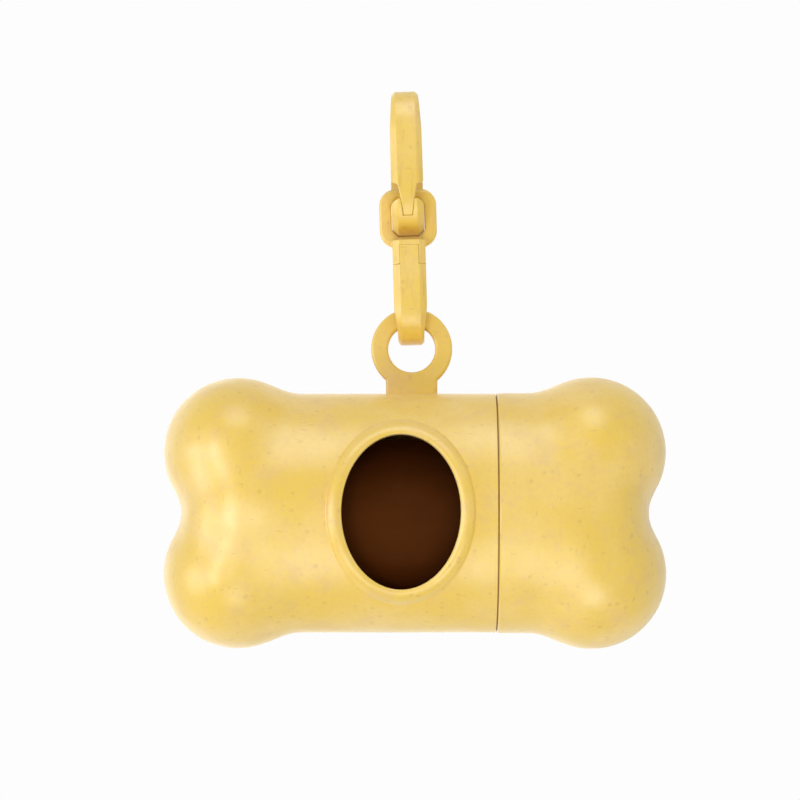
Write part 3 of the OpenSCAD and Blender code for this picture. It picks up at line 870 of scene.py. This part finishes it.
def add_node(tree, kind, settings=None, **inputs):
    """Adds a node with its settings. An input named s0 is the first socket, and takes a value or a socket."""
    node = tree.nodes.new(kind)
    for name, value in (settings or {}).items():
        setattr(node, name, value)
    for name, value in inputs.items():
        socket = node.inputs[int(name[1:])]
        if isinstance(value, bpy.types.NodeSocket):
            tree.links.new(value, socket)
        else:
            socket.default_value = value
    return node


def new_material(name):
    """An empty material with its output, its shader and the object's own coordinates."""
    material = bpy.data.materials.new(name)
    material.use_nodes = True
    tree = material.node_tree
    tree.nodes.clear()
    shader = add_node(tree, "ShaderNodeBsdfPrincipled")
    add_node(tree, "ShaderNodeOutputMaterial", s0=shader.outputs[0])
    place = add_node(tree, "ShaderNodeTexCoord").outputs["Object"]
    return material, tree, shader, place


def stretched(tree, place, size, stretch, turn=(0, 0, 0)):
    """Coordinates for a pattern about size millimetres across, times a stretch on each axis."""
    scale = [1 / (size * MM * s) for s in stretch]
    return add_node(tree, "ShaderNodeMapping", s0=place, s2=turn, s3=scale).outputs[0]


def noise(tree, place, size, detail=3, stretch=(1, 1, 1), rough=0.5):
    """Noise whose patches are about size millimetres across, as a value from 0 to 1."""
    mapped = stretched(tree, place, size, stretch)
    return add_node(tree, "ShaderNodeTexNoise", s0=mapped, s2=1, s3=detail, s4=rough).outputs[0]


def ramp(tree, value, low, high, out_low=0, out_high=1):
    """Maps a value smoothly from one stretch to another."""
    made = add_node(
        tree, "ShaderNodeMapRange", {"interpolation_type": "SMOOTHSTEP"},
        s0=value, s1=low, s2=high, s3=out_low, s4=out_high,
    )
    return made.outputs[0]


def mixed(tree, share, a, b):
    """Mixes two colours."""
    return add_node(tree, "ShaderNodeMix", {"data_type": "RGBA"}, s0=share, s6=a, s7=b).outputs[2]


def shade(paint, factor):
    """A colour made darker or paler."""
    return [min(1, v * factor) for v in paint[:3]] + [1]


def maths(tree, operation, a, b):
    """The result of one sum on numbers."""
    return add_node(tree, "ShaderNodeMath", {"operation": operation}, s0=a, s1=b).outputs[0]


def vector_maths(tree, operation, **inputs):
    """The result of one sum on vectors."""
    return add_node(tree, "ShaderNodeVectorMath", {"operation": operation}, **inputs).outputs[0]


def add_bump(tree, shader, height, strength, depth):
    """Gives a shader a bump in which a height of 1 is depth metres."""
    bump = add_node(tree, "ShaderNodeBump", s0=strength, s1=depth)
    tree.links.new(height, bump.inputs["Height"])
    tree.links.new(bump.outputs[0], shader.inputs["Normal"])


def flecks(tree, place, size, stretch, turn, share, edge):
    """Sparse flecks about size millimetres wide: a share of the cells of a cell pattern, drawn small."""
    warp = add_node(tree, "ShaderNodeTexNoise", s0=place, s2=1 / (size * 2 * MM), s3=1).outputs[1]
    reach = [size * MM * 0.7] * 3
    bent = vector_maths(tree, "MULTIPLY_ADD", s0=warp, s1=reach, s2=place)
    mapped = stretched(tree, bent, size, stretch, turn)
    cells = add_node(tree, "ShaderNodeTexVoronoi", s0=mapped, s2=1)
    spot = ramp(tree, cells.outputs[0], edge, edge * 0.55)
    pick = add_node(tree, "ShaderNodeSeparateColor", s0=cells.outputs[1]).outputs[0]
    chosen = maths(tree, "LESS_THAN", pick, share)
    return maths(tree, "MULTIPLY", spot, chosen)


def straw_plastic(colours, name, streaks):
    """Wheat-straw-filled polypropylene, moulded: a satin skin with soft mottling, and sparse ground-straw
    flecks and short fibres that lie in it at every angle."""
    material, tree, shader, place = new_material(name)
    broad = noise(tree, place, 11, detail=4, rough=0.6)
    patch = noise(tree, place, 5, detail=4, rough=0.65)
    grain = noise(tree, place, 0.8, detail=3, rough=0.7)
    base = mixed(tree, ramp(tree, broad, 0.4, 0.66, 0, 0.8), colours.straw[:], colours.straw_pale[:])
    base = mixed(tree, ramp(tree, patch, 0.48, 0.74, 0, 0.42), base, colours.straw_rose[:])
    base = mixed(tree, ramp(tree, grain, 0.45, 0.75, 0, 0.34), base, colours.straw_rose[:])
    specks = flecks(tree, place, 1.3, (1, 1, 1), (0, 0, 0), 0.09, 0.4)
    fibres = flecks(tree, place, 0.6, (4, 1, 1), (0.4, 0.7, 0.5), 0.05, 0.34)
    shreds = flecks(tree, place, 0.6, (1, 1, 3.5), (0.5, -0.3, 0.2), 0.05, 0.34)
    for mask in (specks, fibres, shreds):
        base = mixed(tree, maths(tree, "MULTIPLY", mask, 0.18), base, colours.straw_fleck[:])
    if streaks:
        flow = noise(tree, place, 1.1, detail=3, stretch=(1, 1, 7), rough=0.6)
        base = mixed(tree, ramp(tree, flow, 0.52, 0.8, 0, 0.3), base, colours.straw_fleck[:])
    tree.links.new(base, shader.inputs["Base Color"])
    tree.links.new(ramp(tree, patch, 0.3, 0.8, 0.34, 0.43), shader.inputs["Roughness"])
    shader.inputs["IOR"].default_value = 1.49
    shader.inputs["Specular IOR Level"].default_value = 0.75
    shader.inputs["Sheen Weight"].default_value = 0.22
    shader.inputs["Sheen Roughness"].default_value = 0.4
    peel = noise(tree, place, 1.6, detail=2)
    height = maths(tree, "ADD", maths(tree, "MULTIPLY", peel, 0.5), maths(tree, "MULTIPLY", grain, 0.5))
    add_bump(tree, shader, height, 0.35, 0.04 * MM)
    return material


def bag_film(colours):
    """Polyethylene bag film, blown and wound: thin dark brown layers, nearly matte, with fine creases."""
    material, tree, shader, place = new_material("bag_film_wound")
    crease = noise(tree, place, 1.4, detail=4, stretch=(5, 1, 1))
    tone = ramp(tree, noise(tree, place, 6, detail=3), 0.35, 0.7, 0, 0.25)
    base = mixed(tree, tone, colours.film[:], shade(colours.film, 1.5))
    tree.links.new(base, shader.inputs["Base Color"])
    tree.links.new(ramp(tree, crease, 0.3, 0.7, 0.75, 0.9), shader.inputs["Roughness"])
    shader.inputs["Specular IOR Level"].default_value = 0.04
    add_bump(tree, shader, crease, 0.4, 0.1 * MM)
    return material


def paperboard(colours):
    """Brown paperboard, wound and glued: matte, with fine fibres along it."""
    material, tree, shader, place = new_material("paperboard_wound")
    fibre = noise(tree, place, 0.5, detail=4, stretch=(5, 1, 1), rough=0.7)
    tone = ramp(tree, fibre, 0.3, 0.75, 0, 0.4)
    base = mixed(tree, tone, colours.board[:], shade(colours.board, 0.6))
    tree.links.new(base, shader.inputs["Base Color"])
    shader.inputs["Roughness"].default_value = 0.85
    add_bump(tree, shader, fibre, 0.4, 0.08 * MM)
    return material


def material_named(name, make):
    """The material of that name, made the first time it is asked for."""
    return bpy.data.materials.get(name) or make()


def plastic(scene, streaks):
    """The plastic of the case, or that of the clips, which shows streaks along their length."""
    name = "straw_plastic_streaked" if streaks else "straw_plastic_moulded"
    return material_named(name, lambda: straw_plastic(scene.dispenser_colours, name, streaks))


# The roll

# How many of the outer turns are creased, and how many cells the creases have to a metre on each axis
CREASED_TURNS = 2.0
CREASES = (420, 420, 90)


def roll_tree(r, material):
    """Geometry nodes for the wound film: closed spiral turns, and denser, creased outer turns."""
    tree = bpy.data.node_groups.new("wound_film", "GeometryNodeTree")
    face = tree.interface
    face.new_socket("Geometry", in_out="OUTPUT", socket_type="NodeSocketGeometry")
    sizes = {}
    gap = 0.05
    for name, value in (
        ("Inner radius", (r.core_d / 2 + gap) * MM), ("Outer radius", r.roll_d / 2 * MM),
        ("Width", r.roll_len * MM), ("Film", r.film_t * MM), ("Wrinkle", r.wrinkle * MM),
        ("Turns", float(r.turns)),
    ):
        socket = face.new_socket(name, in_out="INPUT", socket_type="NodeSocketFloat")
        socket.default_value = value
        if name != "Turns":
            socket.subtype = "DISTANCE"
        sizes[socket.identifier] = value
    given = add_node(tree, "NodeGroupInput").outputs
    inner_r, outer_r, width, film, wrinkle, turns = given[:6]

    def wound(rotations, start, end, per_turn, profile_points):
        """Film wound in a spiral. Its cross-section is a rectangle, cut into points where it gets creased."""
        spiral = add_node(
            tree, "GeometryNodeCurveSpiral", s0=per_turn, s1=rotations, s2=start, s3=end, s4=0
        ).outputs[0]
        upright = add_node(tree, "GeometryNodeSetCurveNormal", {"mode": "Z_UP"}, s0=spiral).outputs[0]
        outline = add_node(tree, "GeometryNodeCurvePrimitiveQuadrilateral", s0=film, s1=width).outputs[0]
        if profile_points:
            outline = add_node(tree, "GeometryNodeResampleCurve", s0=outline, s2=profile_points).outputs[0]
        swept = add_node(tree, "GeometryNodeCurveToMesh", s0=upright, s1=outline)
        swept.inputs["Fill Caps"].default_value = True
        return swept.outputs[0]

    half_film = maths(tree, "MULTIPLY", film, 0.5)
    pitch = maths(tree, "DIVIDE", maths(tree, "SUBTRACT", outer_r, inner_r), turns)
    first = maths(tree, "ADD", inner_r, half_film)
    last = maths(tree, "SUBTRACT", outer_r, half_film)
    split = maths(tree, "SUBTRACT", last, maths(tree, "MULTIPLY", pitch, CREASED_TURNS))
    inside = wound(maths(tree, "SUBTRACT", turns, CREASED_TURNS), first, split, per_turn=72, profile_points=0)
    outside = wound(CREASED_TURNS, split, last, per_turn=160, profile_points=110)
    place = add_node(tree, "GeometryNodeInputPosition").outputs[0]
    creases = vector_maths(tree, "MULTIPLY", s0=place, s1=CREASES)
    made = add_node(tree, "ShaderNodeTexNoise", {"noise_dimensions": "4D"}, s0=creases, s1=SEED, s2=1, s3=3)
    depth = maths(tree, "MULTIPLY", made.outputs[0], maths(tree, "MULTIPLY", wrinkle, -1.0))
    away = vector_maths(tree, "NORMALIZE", s0=vector_maths(tree, "MULTIPLY", s0=place, s1=(1, 1, 0)))
    push = add_node(tree, "ShaderNodeVectorMath", {"operation": "SCALE"}, s0=away)
    tree.links.new(depth, push.inputs["Scale"])
    creased = add_node(tree, "GeometryNodeSetPosition", s0=outside)
    tree.links.new(push.outputs[0], creased.inputs["Offset"])
    joined = add_node(tree, "GeometryNodeJoinGeometry")
    tree.links.new(creased.outputs[0], joined.inputs[0])
    tree.links.new(inside, joined.inputs[0])
    turned = add_node(tree, "GeometryNodeTransform", s0=joined.outputs[0])
    turned.inputs["Rotation"].default_value = (0, math.radians(90), 0)
    real = add_node(tree, "GeometryNodeRealizeInstances", s0=turned.outputs[0]).outputs[0]
    shown = add_node(tree, "GeometryNodeSetMaterial", s0=real)
    shown.inputs["Material"].default_value = material
    add_node(tree, "NodeGroupOutput", s0=shown.outputs[0])
    return tree, sizes


def roll_place():
    """The middle of the roll: its joint's axis, and the middle of its node along X."""
    low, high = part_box("bag_roll")
    middle = joint_place("roll_turn") * MM
    return ((low[0] + high[0]) / 2, middle[1], middle[2])


def core_shell(r):
    """The paperboard tube, with softened ends."""
    turns = np.radians(np.arange(0, 360, 3.75))
    outer, inner, half = r.core_d / 2, r.core_d / 2 - r.core_wall, r.roll_len / 2
    soft = 0.12
    skin = Skin()
    rows = []
    for x, radius in (
        (-half, inner + soft), (-half, outer - soft), (-half + soft, outer), (-half + 1, outer),
        (0, outer), (half - 1, outer), (half - soft, outer), (half, outer - soft), (half, inner + soft),
        (half - soft, inner), (half - 1, inner), (0, inner), (1 - half, inner), (soft - half, inner),
    ):
        rows.append(skin.ring(tube_ring(turns, x, radius)))
    skin.chain(rows + rows[:1])
    return np.array(skin.points) + np.array(roll_place()) / MM, skin.faces


# Operators

class DISPENSER_OT_case_body(Operator):
    """Makes the case body with its opening, and the eyelet on top of it"""

    bl_idname = "dispenser.case_body"
    bl_label = "Case Body"

    def execute(self, context):
        scene = context.scene
        shell = make_piece("case_shell", *case_shell(scene), plastic(scene, streaks=False))
        eyelet = net_piece(scene, "case_eyelet", eyelet_distance, EYELET_CELL, clip=False)
        for piece in (shell, eyelet):
            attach(piece, "case")
            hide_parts("case_body")
        return {"FINISHED"}


class DISPENSER_OT_case_cap(Operator):
    """Makes the pull-off cap with its keyed spigot"""

    bl_idname = "dispenser.case_cap"
    bl_label = "Case Cap"

    def execute(self, context):
        scene = context.scene
        cap = make_piece("cap_shell", *cap_shell(scene), plastic(scene, streaks=False))
        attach(cap, "cap")
        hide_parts("case_cap")
        return {"FINISHED"}


class DISPENSER_OT_leash_clip(Operator):
    """Makes the leash clip and its sprung arm"""

    bl_idname = "dispenser.leash_clip"
    bl_label = "Leash Clip"

    def execute(self, context):
        scene = context.scene
        clip = net_piece(scene, "leash_hook", leash_clip_distance, CLIP_CELL)
        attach(clip, "leash_clip")
        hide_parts("leash_clip")
        arm = net_piece(scene, "leash_hook_arm", leash_arm_distance, ARM_CELL)
        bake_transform(arm)
        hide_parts("leash_clip_arm")
        return {"FINISHED"}


class DISPENSER_OT_link_clip(Operator):
    """Makes the link clip with its eye, and its sprung arm"""

    bl_idname = "dispenser.link_clip"
    bl_label = "Link Clip"

    def execute(self, context):
        scene = context.scene
        clip = net_piece(scene, "link_hook", link_clip_distance, CLIP_CELL)
        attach(clip, "link")
        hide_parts("link_clip")
        arm = net_piece(scene, "link_hook_arm", link_arm_distance, ARM_CELL)
        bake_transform(arm)
        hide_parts("link_clip_arm")
        return {"FINISHED"}


class DISPENSER_OT_bag_roll(Operator):
    """Makes the wound bags and their paperboard core"""

    bl_idname = "dispenser.bag_roll"
    bl_label = "Bag Roll"

    def execute(self, context):
        scene = context.scene
        r = in_mm(scene.roll_sizes)
        film = material_named("bag_film_wound", lambda: bag_film(scene.dispenser_colours))
        tree, sizes = roll_tree(r, film)
        holder = bpy.data.objects.new("film_holder", bpy.data.meshes.new("film_holder"))
        scene.collection.objects.link(holder)
        modifier = holder.modifiers.new("wound_film", "NODES")
        modifier.node_group = tree
        for identifier, value in sizes.items():
            modifier[identifier] = value
        context.view_layer.update()
        graph = context.evaluated_depsgraph_get()
        mesh = bpy.data.meshes.new_from_object(holder.evaluated_get(graph))
        bpy.data.objects.remove(holder)
        if len(mesh.polygons) < 1000:
            raise RuntimeError("the wound film came out empty")
        points = np.empty(len(mesh.vertices) * 3)
        mesh.vertices.foreach_get("co", points)
        points = points.reshape(-1, 3) / MM + np.array(roll_place()) / MM
        faces = [tuple(p.vertices) for p in mesh.polygons]
        roll = make_piece("bag_roll_film", points, faces, film, sharp=50)
        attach(roll, "roll")
        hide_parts("bag_roll")
        board = material_named("paperboard_wound", lambda: paperboard(scene.dispenser_colours))
        core = make_piece("bag_roll_core", *core_shell(r), board)
        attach(core, "roll")
        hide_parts("roll_core")
        return {"FINISHED"}


class DISPENSER_OT_stage(Operator):
    """Makes the pale floor, the lamps, the world and the camera"""

    bl_idname = "dispenser.stage"
    bl_label = "Stage"

    def execute(self, context):
        scene = context.scene
        s = in_mm(scene.stage_sizes)
        self.make_floor(scene, s)
        self.make_lamps(scene)
        self.make_world(scene)
        data = bpy.data.cameras.new("camera")
        data.sensor_width = 36
        data.lens = -s.camera_y * data.sensor_width / s.view_w
        data.clip_start = 0.01
        camera = bpy.data.objects.new("camera", data)
        camera.location = (s.camera_x * MM, s.camera_y * MM, s.camera_z * MM)
        camera.rotation_euler = look(camera.location, (s.camera_x * MM, 0, s.view_z * MM))
        scene.collection.objects.link(camera)
        scene.camera = camera
        scene.view_settings.view_transform = "Standard"
        return {"FINISHED"}

    def make_floor(self, scene, s):
        """A round painted floor, far below the object."""
        work = bmesh.new()
        bmesh.ops.create_circle(work, cap_ends=True, segments=96, radius=s.floor_r * MM)
        bmesh.ops.translate(work, verts=work.verts, vec=(0, 0, s.floor_z * MM))
        mesh = bpy.data.meshes.new("floor")
        work.to_mesh(mesh)
        work.free()
        material, tree, shader, place = new_material("floor_painted")
        tone = ramp(tree, noise(tree, place, 60, detail=3), 0.3, 0.7, 0, 0.25)
        paint = scene.dispenser_colours.floor
        tree.links.new(mixed(tree, tone, paint[:], shade(paint, 1.04)), shader.inputs["Base Color"])
        shader.inputs["Roughness"].default_value = 0.8
        mesh.materials.append(material)
        floor = bpy.data.objects.new("floor", mesh)
        scene.collection.objects.link(floor)

    def make_lamps(self, scene):
        """Oval lamps: the name, place, aim, size and power of each."""
        for name, place, aim, size, power in (
            ("key", (-0.85, -0.14, -0.18), (0, 0, -0.05), (0.6, 0.6), 3.0),
            ("strip", (-0.64, -0.62, -0.1), (0, 0, -0.06), (0.26, 0.6), 3.2),
            ("front", (-0.24, -0.85, -0.14), (0, 0, -0.05), (0.16, 0.16), 0.8),
            ("fill", (0.78, -0.4, -0.1), (0, 0, -0.05), (0.6, 0.6), 1.05),
            ("low", (0, -0.55, -0.65), (0, 0, -0.05), (0.6, 0.6), 2.6),
            ("top", (0, -0.3, 0.7), (0, 0, -0.05), (0.6, 0.6), 2.7),
            ("back", (-0.2, 0.8, -0.05), (0, 0, -0.05), (0.9, 0.9), 1.5),
        ):
            data = bpy.data.lights.new(name, "AREA")
            data.shape = "ELLIPSE"
            data.size, data.size_y = size
            data.energy = power
            lamp = bpy.data.objects.new(name, data)
            lamp.location = place
            lamp.rotation_euler = look(place, aim)
            # The strip only makes the tall highlight on the left end, and the fill makes none
            lamp.visible_diffuse = name != "strip"
            lamp.visible_glossy = name != "fill"
            scene.collection.objects.link(lamp)

    def make_world(self, scene):
        """Even light from all round, and the backdrop that the camera and the gloss see."""
        world = bpy.data.worlds.new("studio")
        scene.world = world
        world.use_nodes = True
        tree = world.node_tree
        tree.nodes.clear()
        rays = add_node(tree, "ShaderNodeLightPath").outputs
        seen = maths(tree, "MAXIMUM", rays["Is Camera Ray"], rays["Is Glossy Ray"])
        seen = maths(tree, "MAXIMUM", seen, rays["Is Transmission Ray"])
        light = add_node(tree, "ShaderNodeBackground", s0=(1, 1, 1, 1), s1=0.42).outputs[0]
        back = add_node(tree, "ShaderNodeBackground", s0=scene.dispenser_colours.backdrop[:], s1=1).outputs[0]
        choice = add_node(tree, "ShaderNodeMixShader", s0=seen, s1=light, s2=back)
        add_node(tree, "ShaderNodeOutputWorld", s0=choice.outputs[0])


def look(place, aim):
    """The turn that points a lamp or the camera at a place."""
    return (Vector(aim) - Vector(place)).to_track_quat("-Z", "Y").to_euler()


class DISPENSER_PT_sidebar(Panel):
    """Lists the pieces of the dispenser"""

    bl_idname = "DISPENSER_PT_sidebar"
    bl_label = "Waste Bag Dispenser"
    bl_space_type = "VIEW_3D"
    bl_region_type = "UI"
    bl_category = "Dispenser"

    def draw(self, context):
        for kind in OPERATORS:
            self.layout.operator(kind.bl_idname)


GROUPS = {
    "case_sizes": CaseSizes,
    "cap_joint_sizes": CapJointSizes,
    "opening_sizes": OpeningSizes,
    "eyelet_sizes": EyeletSizes,
    "leash_clip_sizes": LeashClipSizes,
    "link_clip_sizes": LinkClipSizes,
    "roll_sizes": RollSizes,
    "dispenser_colours": Colours,
    "stage_sizes": StageSizes,
}
OPERATORS = (
    DISPENSER_OT_case_body,
    DISPENSER_OT_case_cap,
    DISPENSER_OT_leash_clip,
    DISPENSER_OT_link_clip,
    DISPENSER_OT_bag_roll,
    DISPENSER_OT_stage,
)


def register():
    for name, group in GROUPS.items():
        bpy.utils.register_class(group)
        setattr(bpy.types.Scene, name, PointerProperty(type=group))
    for kind in OPERATORS:
        bpy.utils.register_class(kind)
    bpy.utils.register_class(DISPENSER_PT_sidebar)


def unregister():
    bpy.utils.unregister_class(DISPENSER_PT_sidebar)
    for kind in reversed(OPERATORS):
        bpy.utils.unregister_class(kind)
    for name, group in reversed(list(GROUPS.items())):
        delattr(bpy.types.Scene, name)
        bpy.utils.unregister_class(group)


def main():
    register()
    bpy.ops.dispenser.case_body()
    bpy.ops.dispenser.case_cap()
    bpy.ops.dispenser.leash_clip()
    bpy.ops.dispenser.link_clip()
    bpy.ops.dispenser.bag_roll()
    bpy.ops.dispenser.stage()


if __name__ == "__main__":
    main()
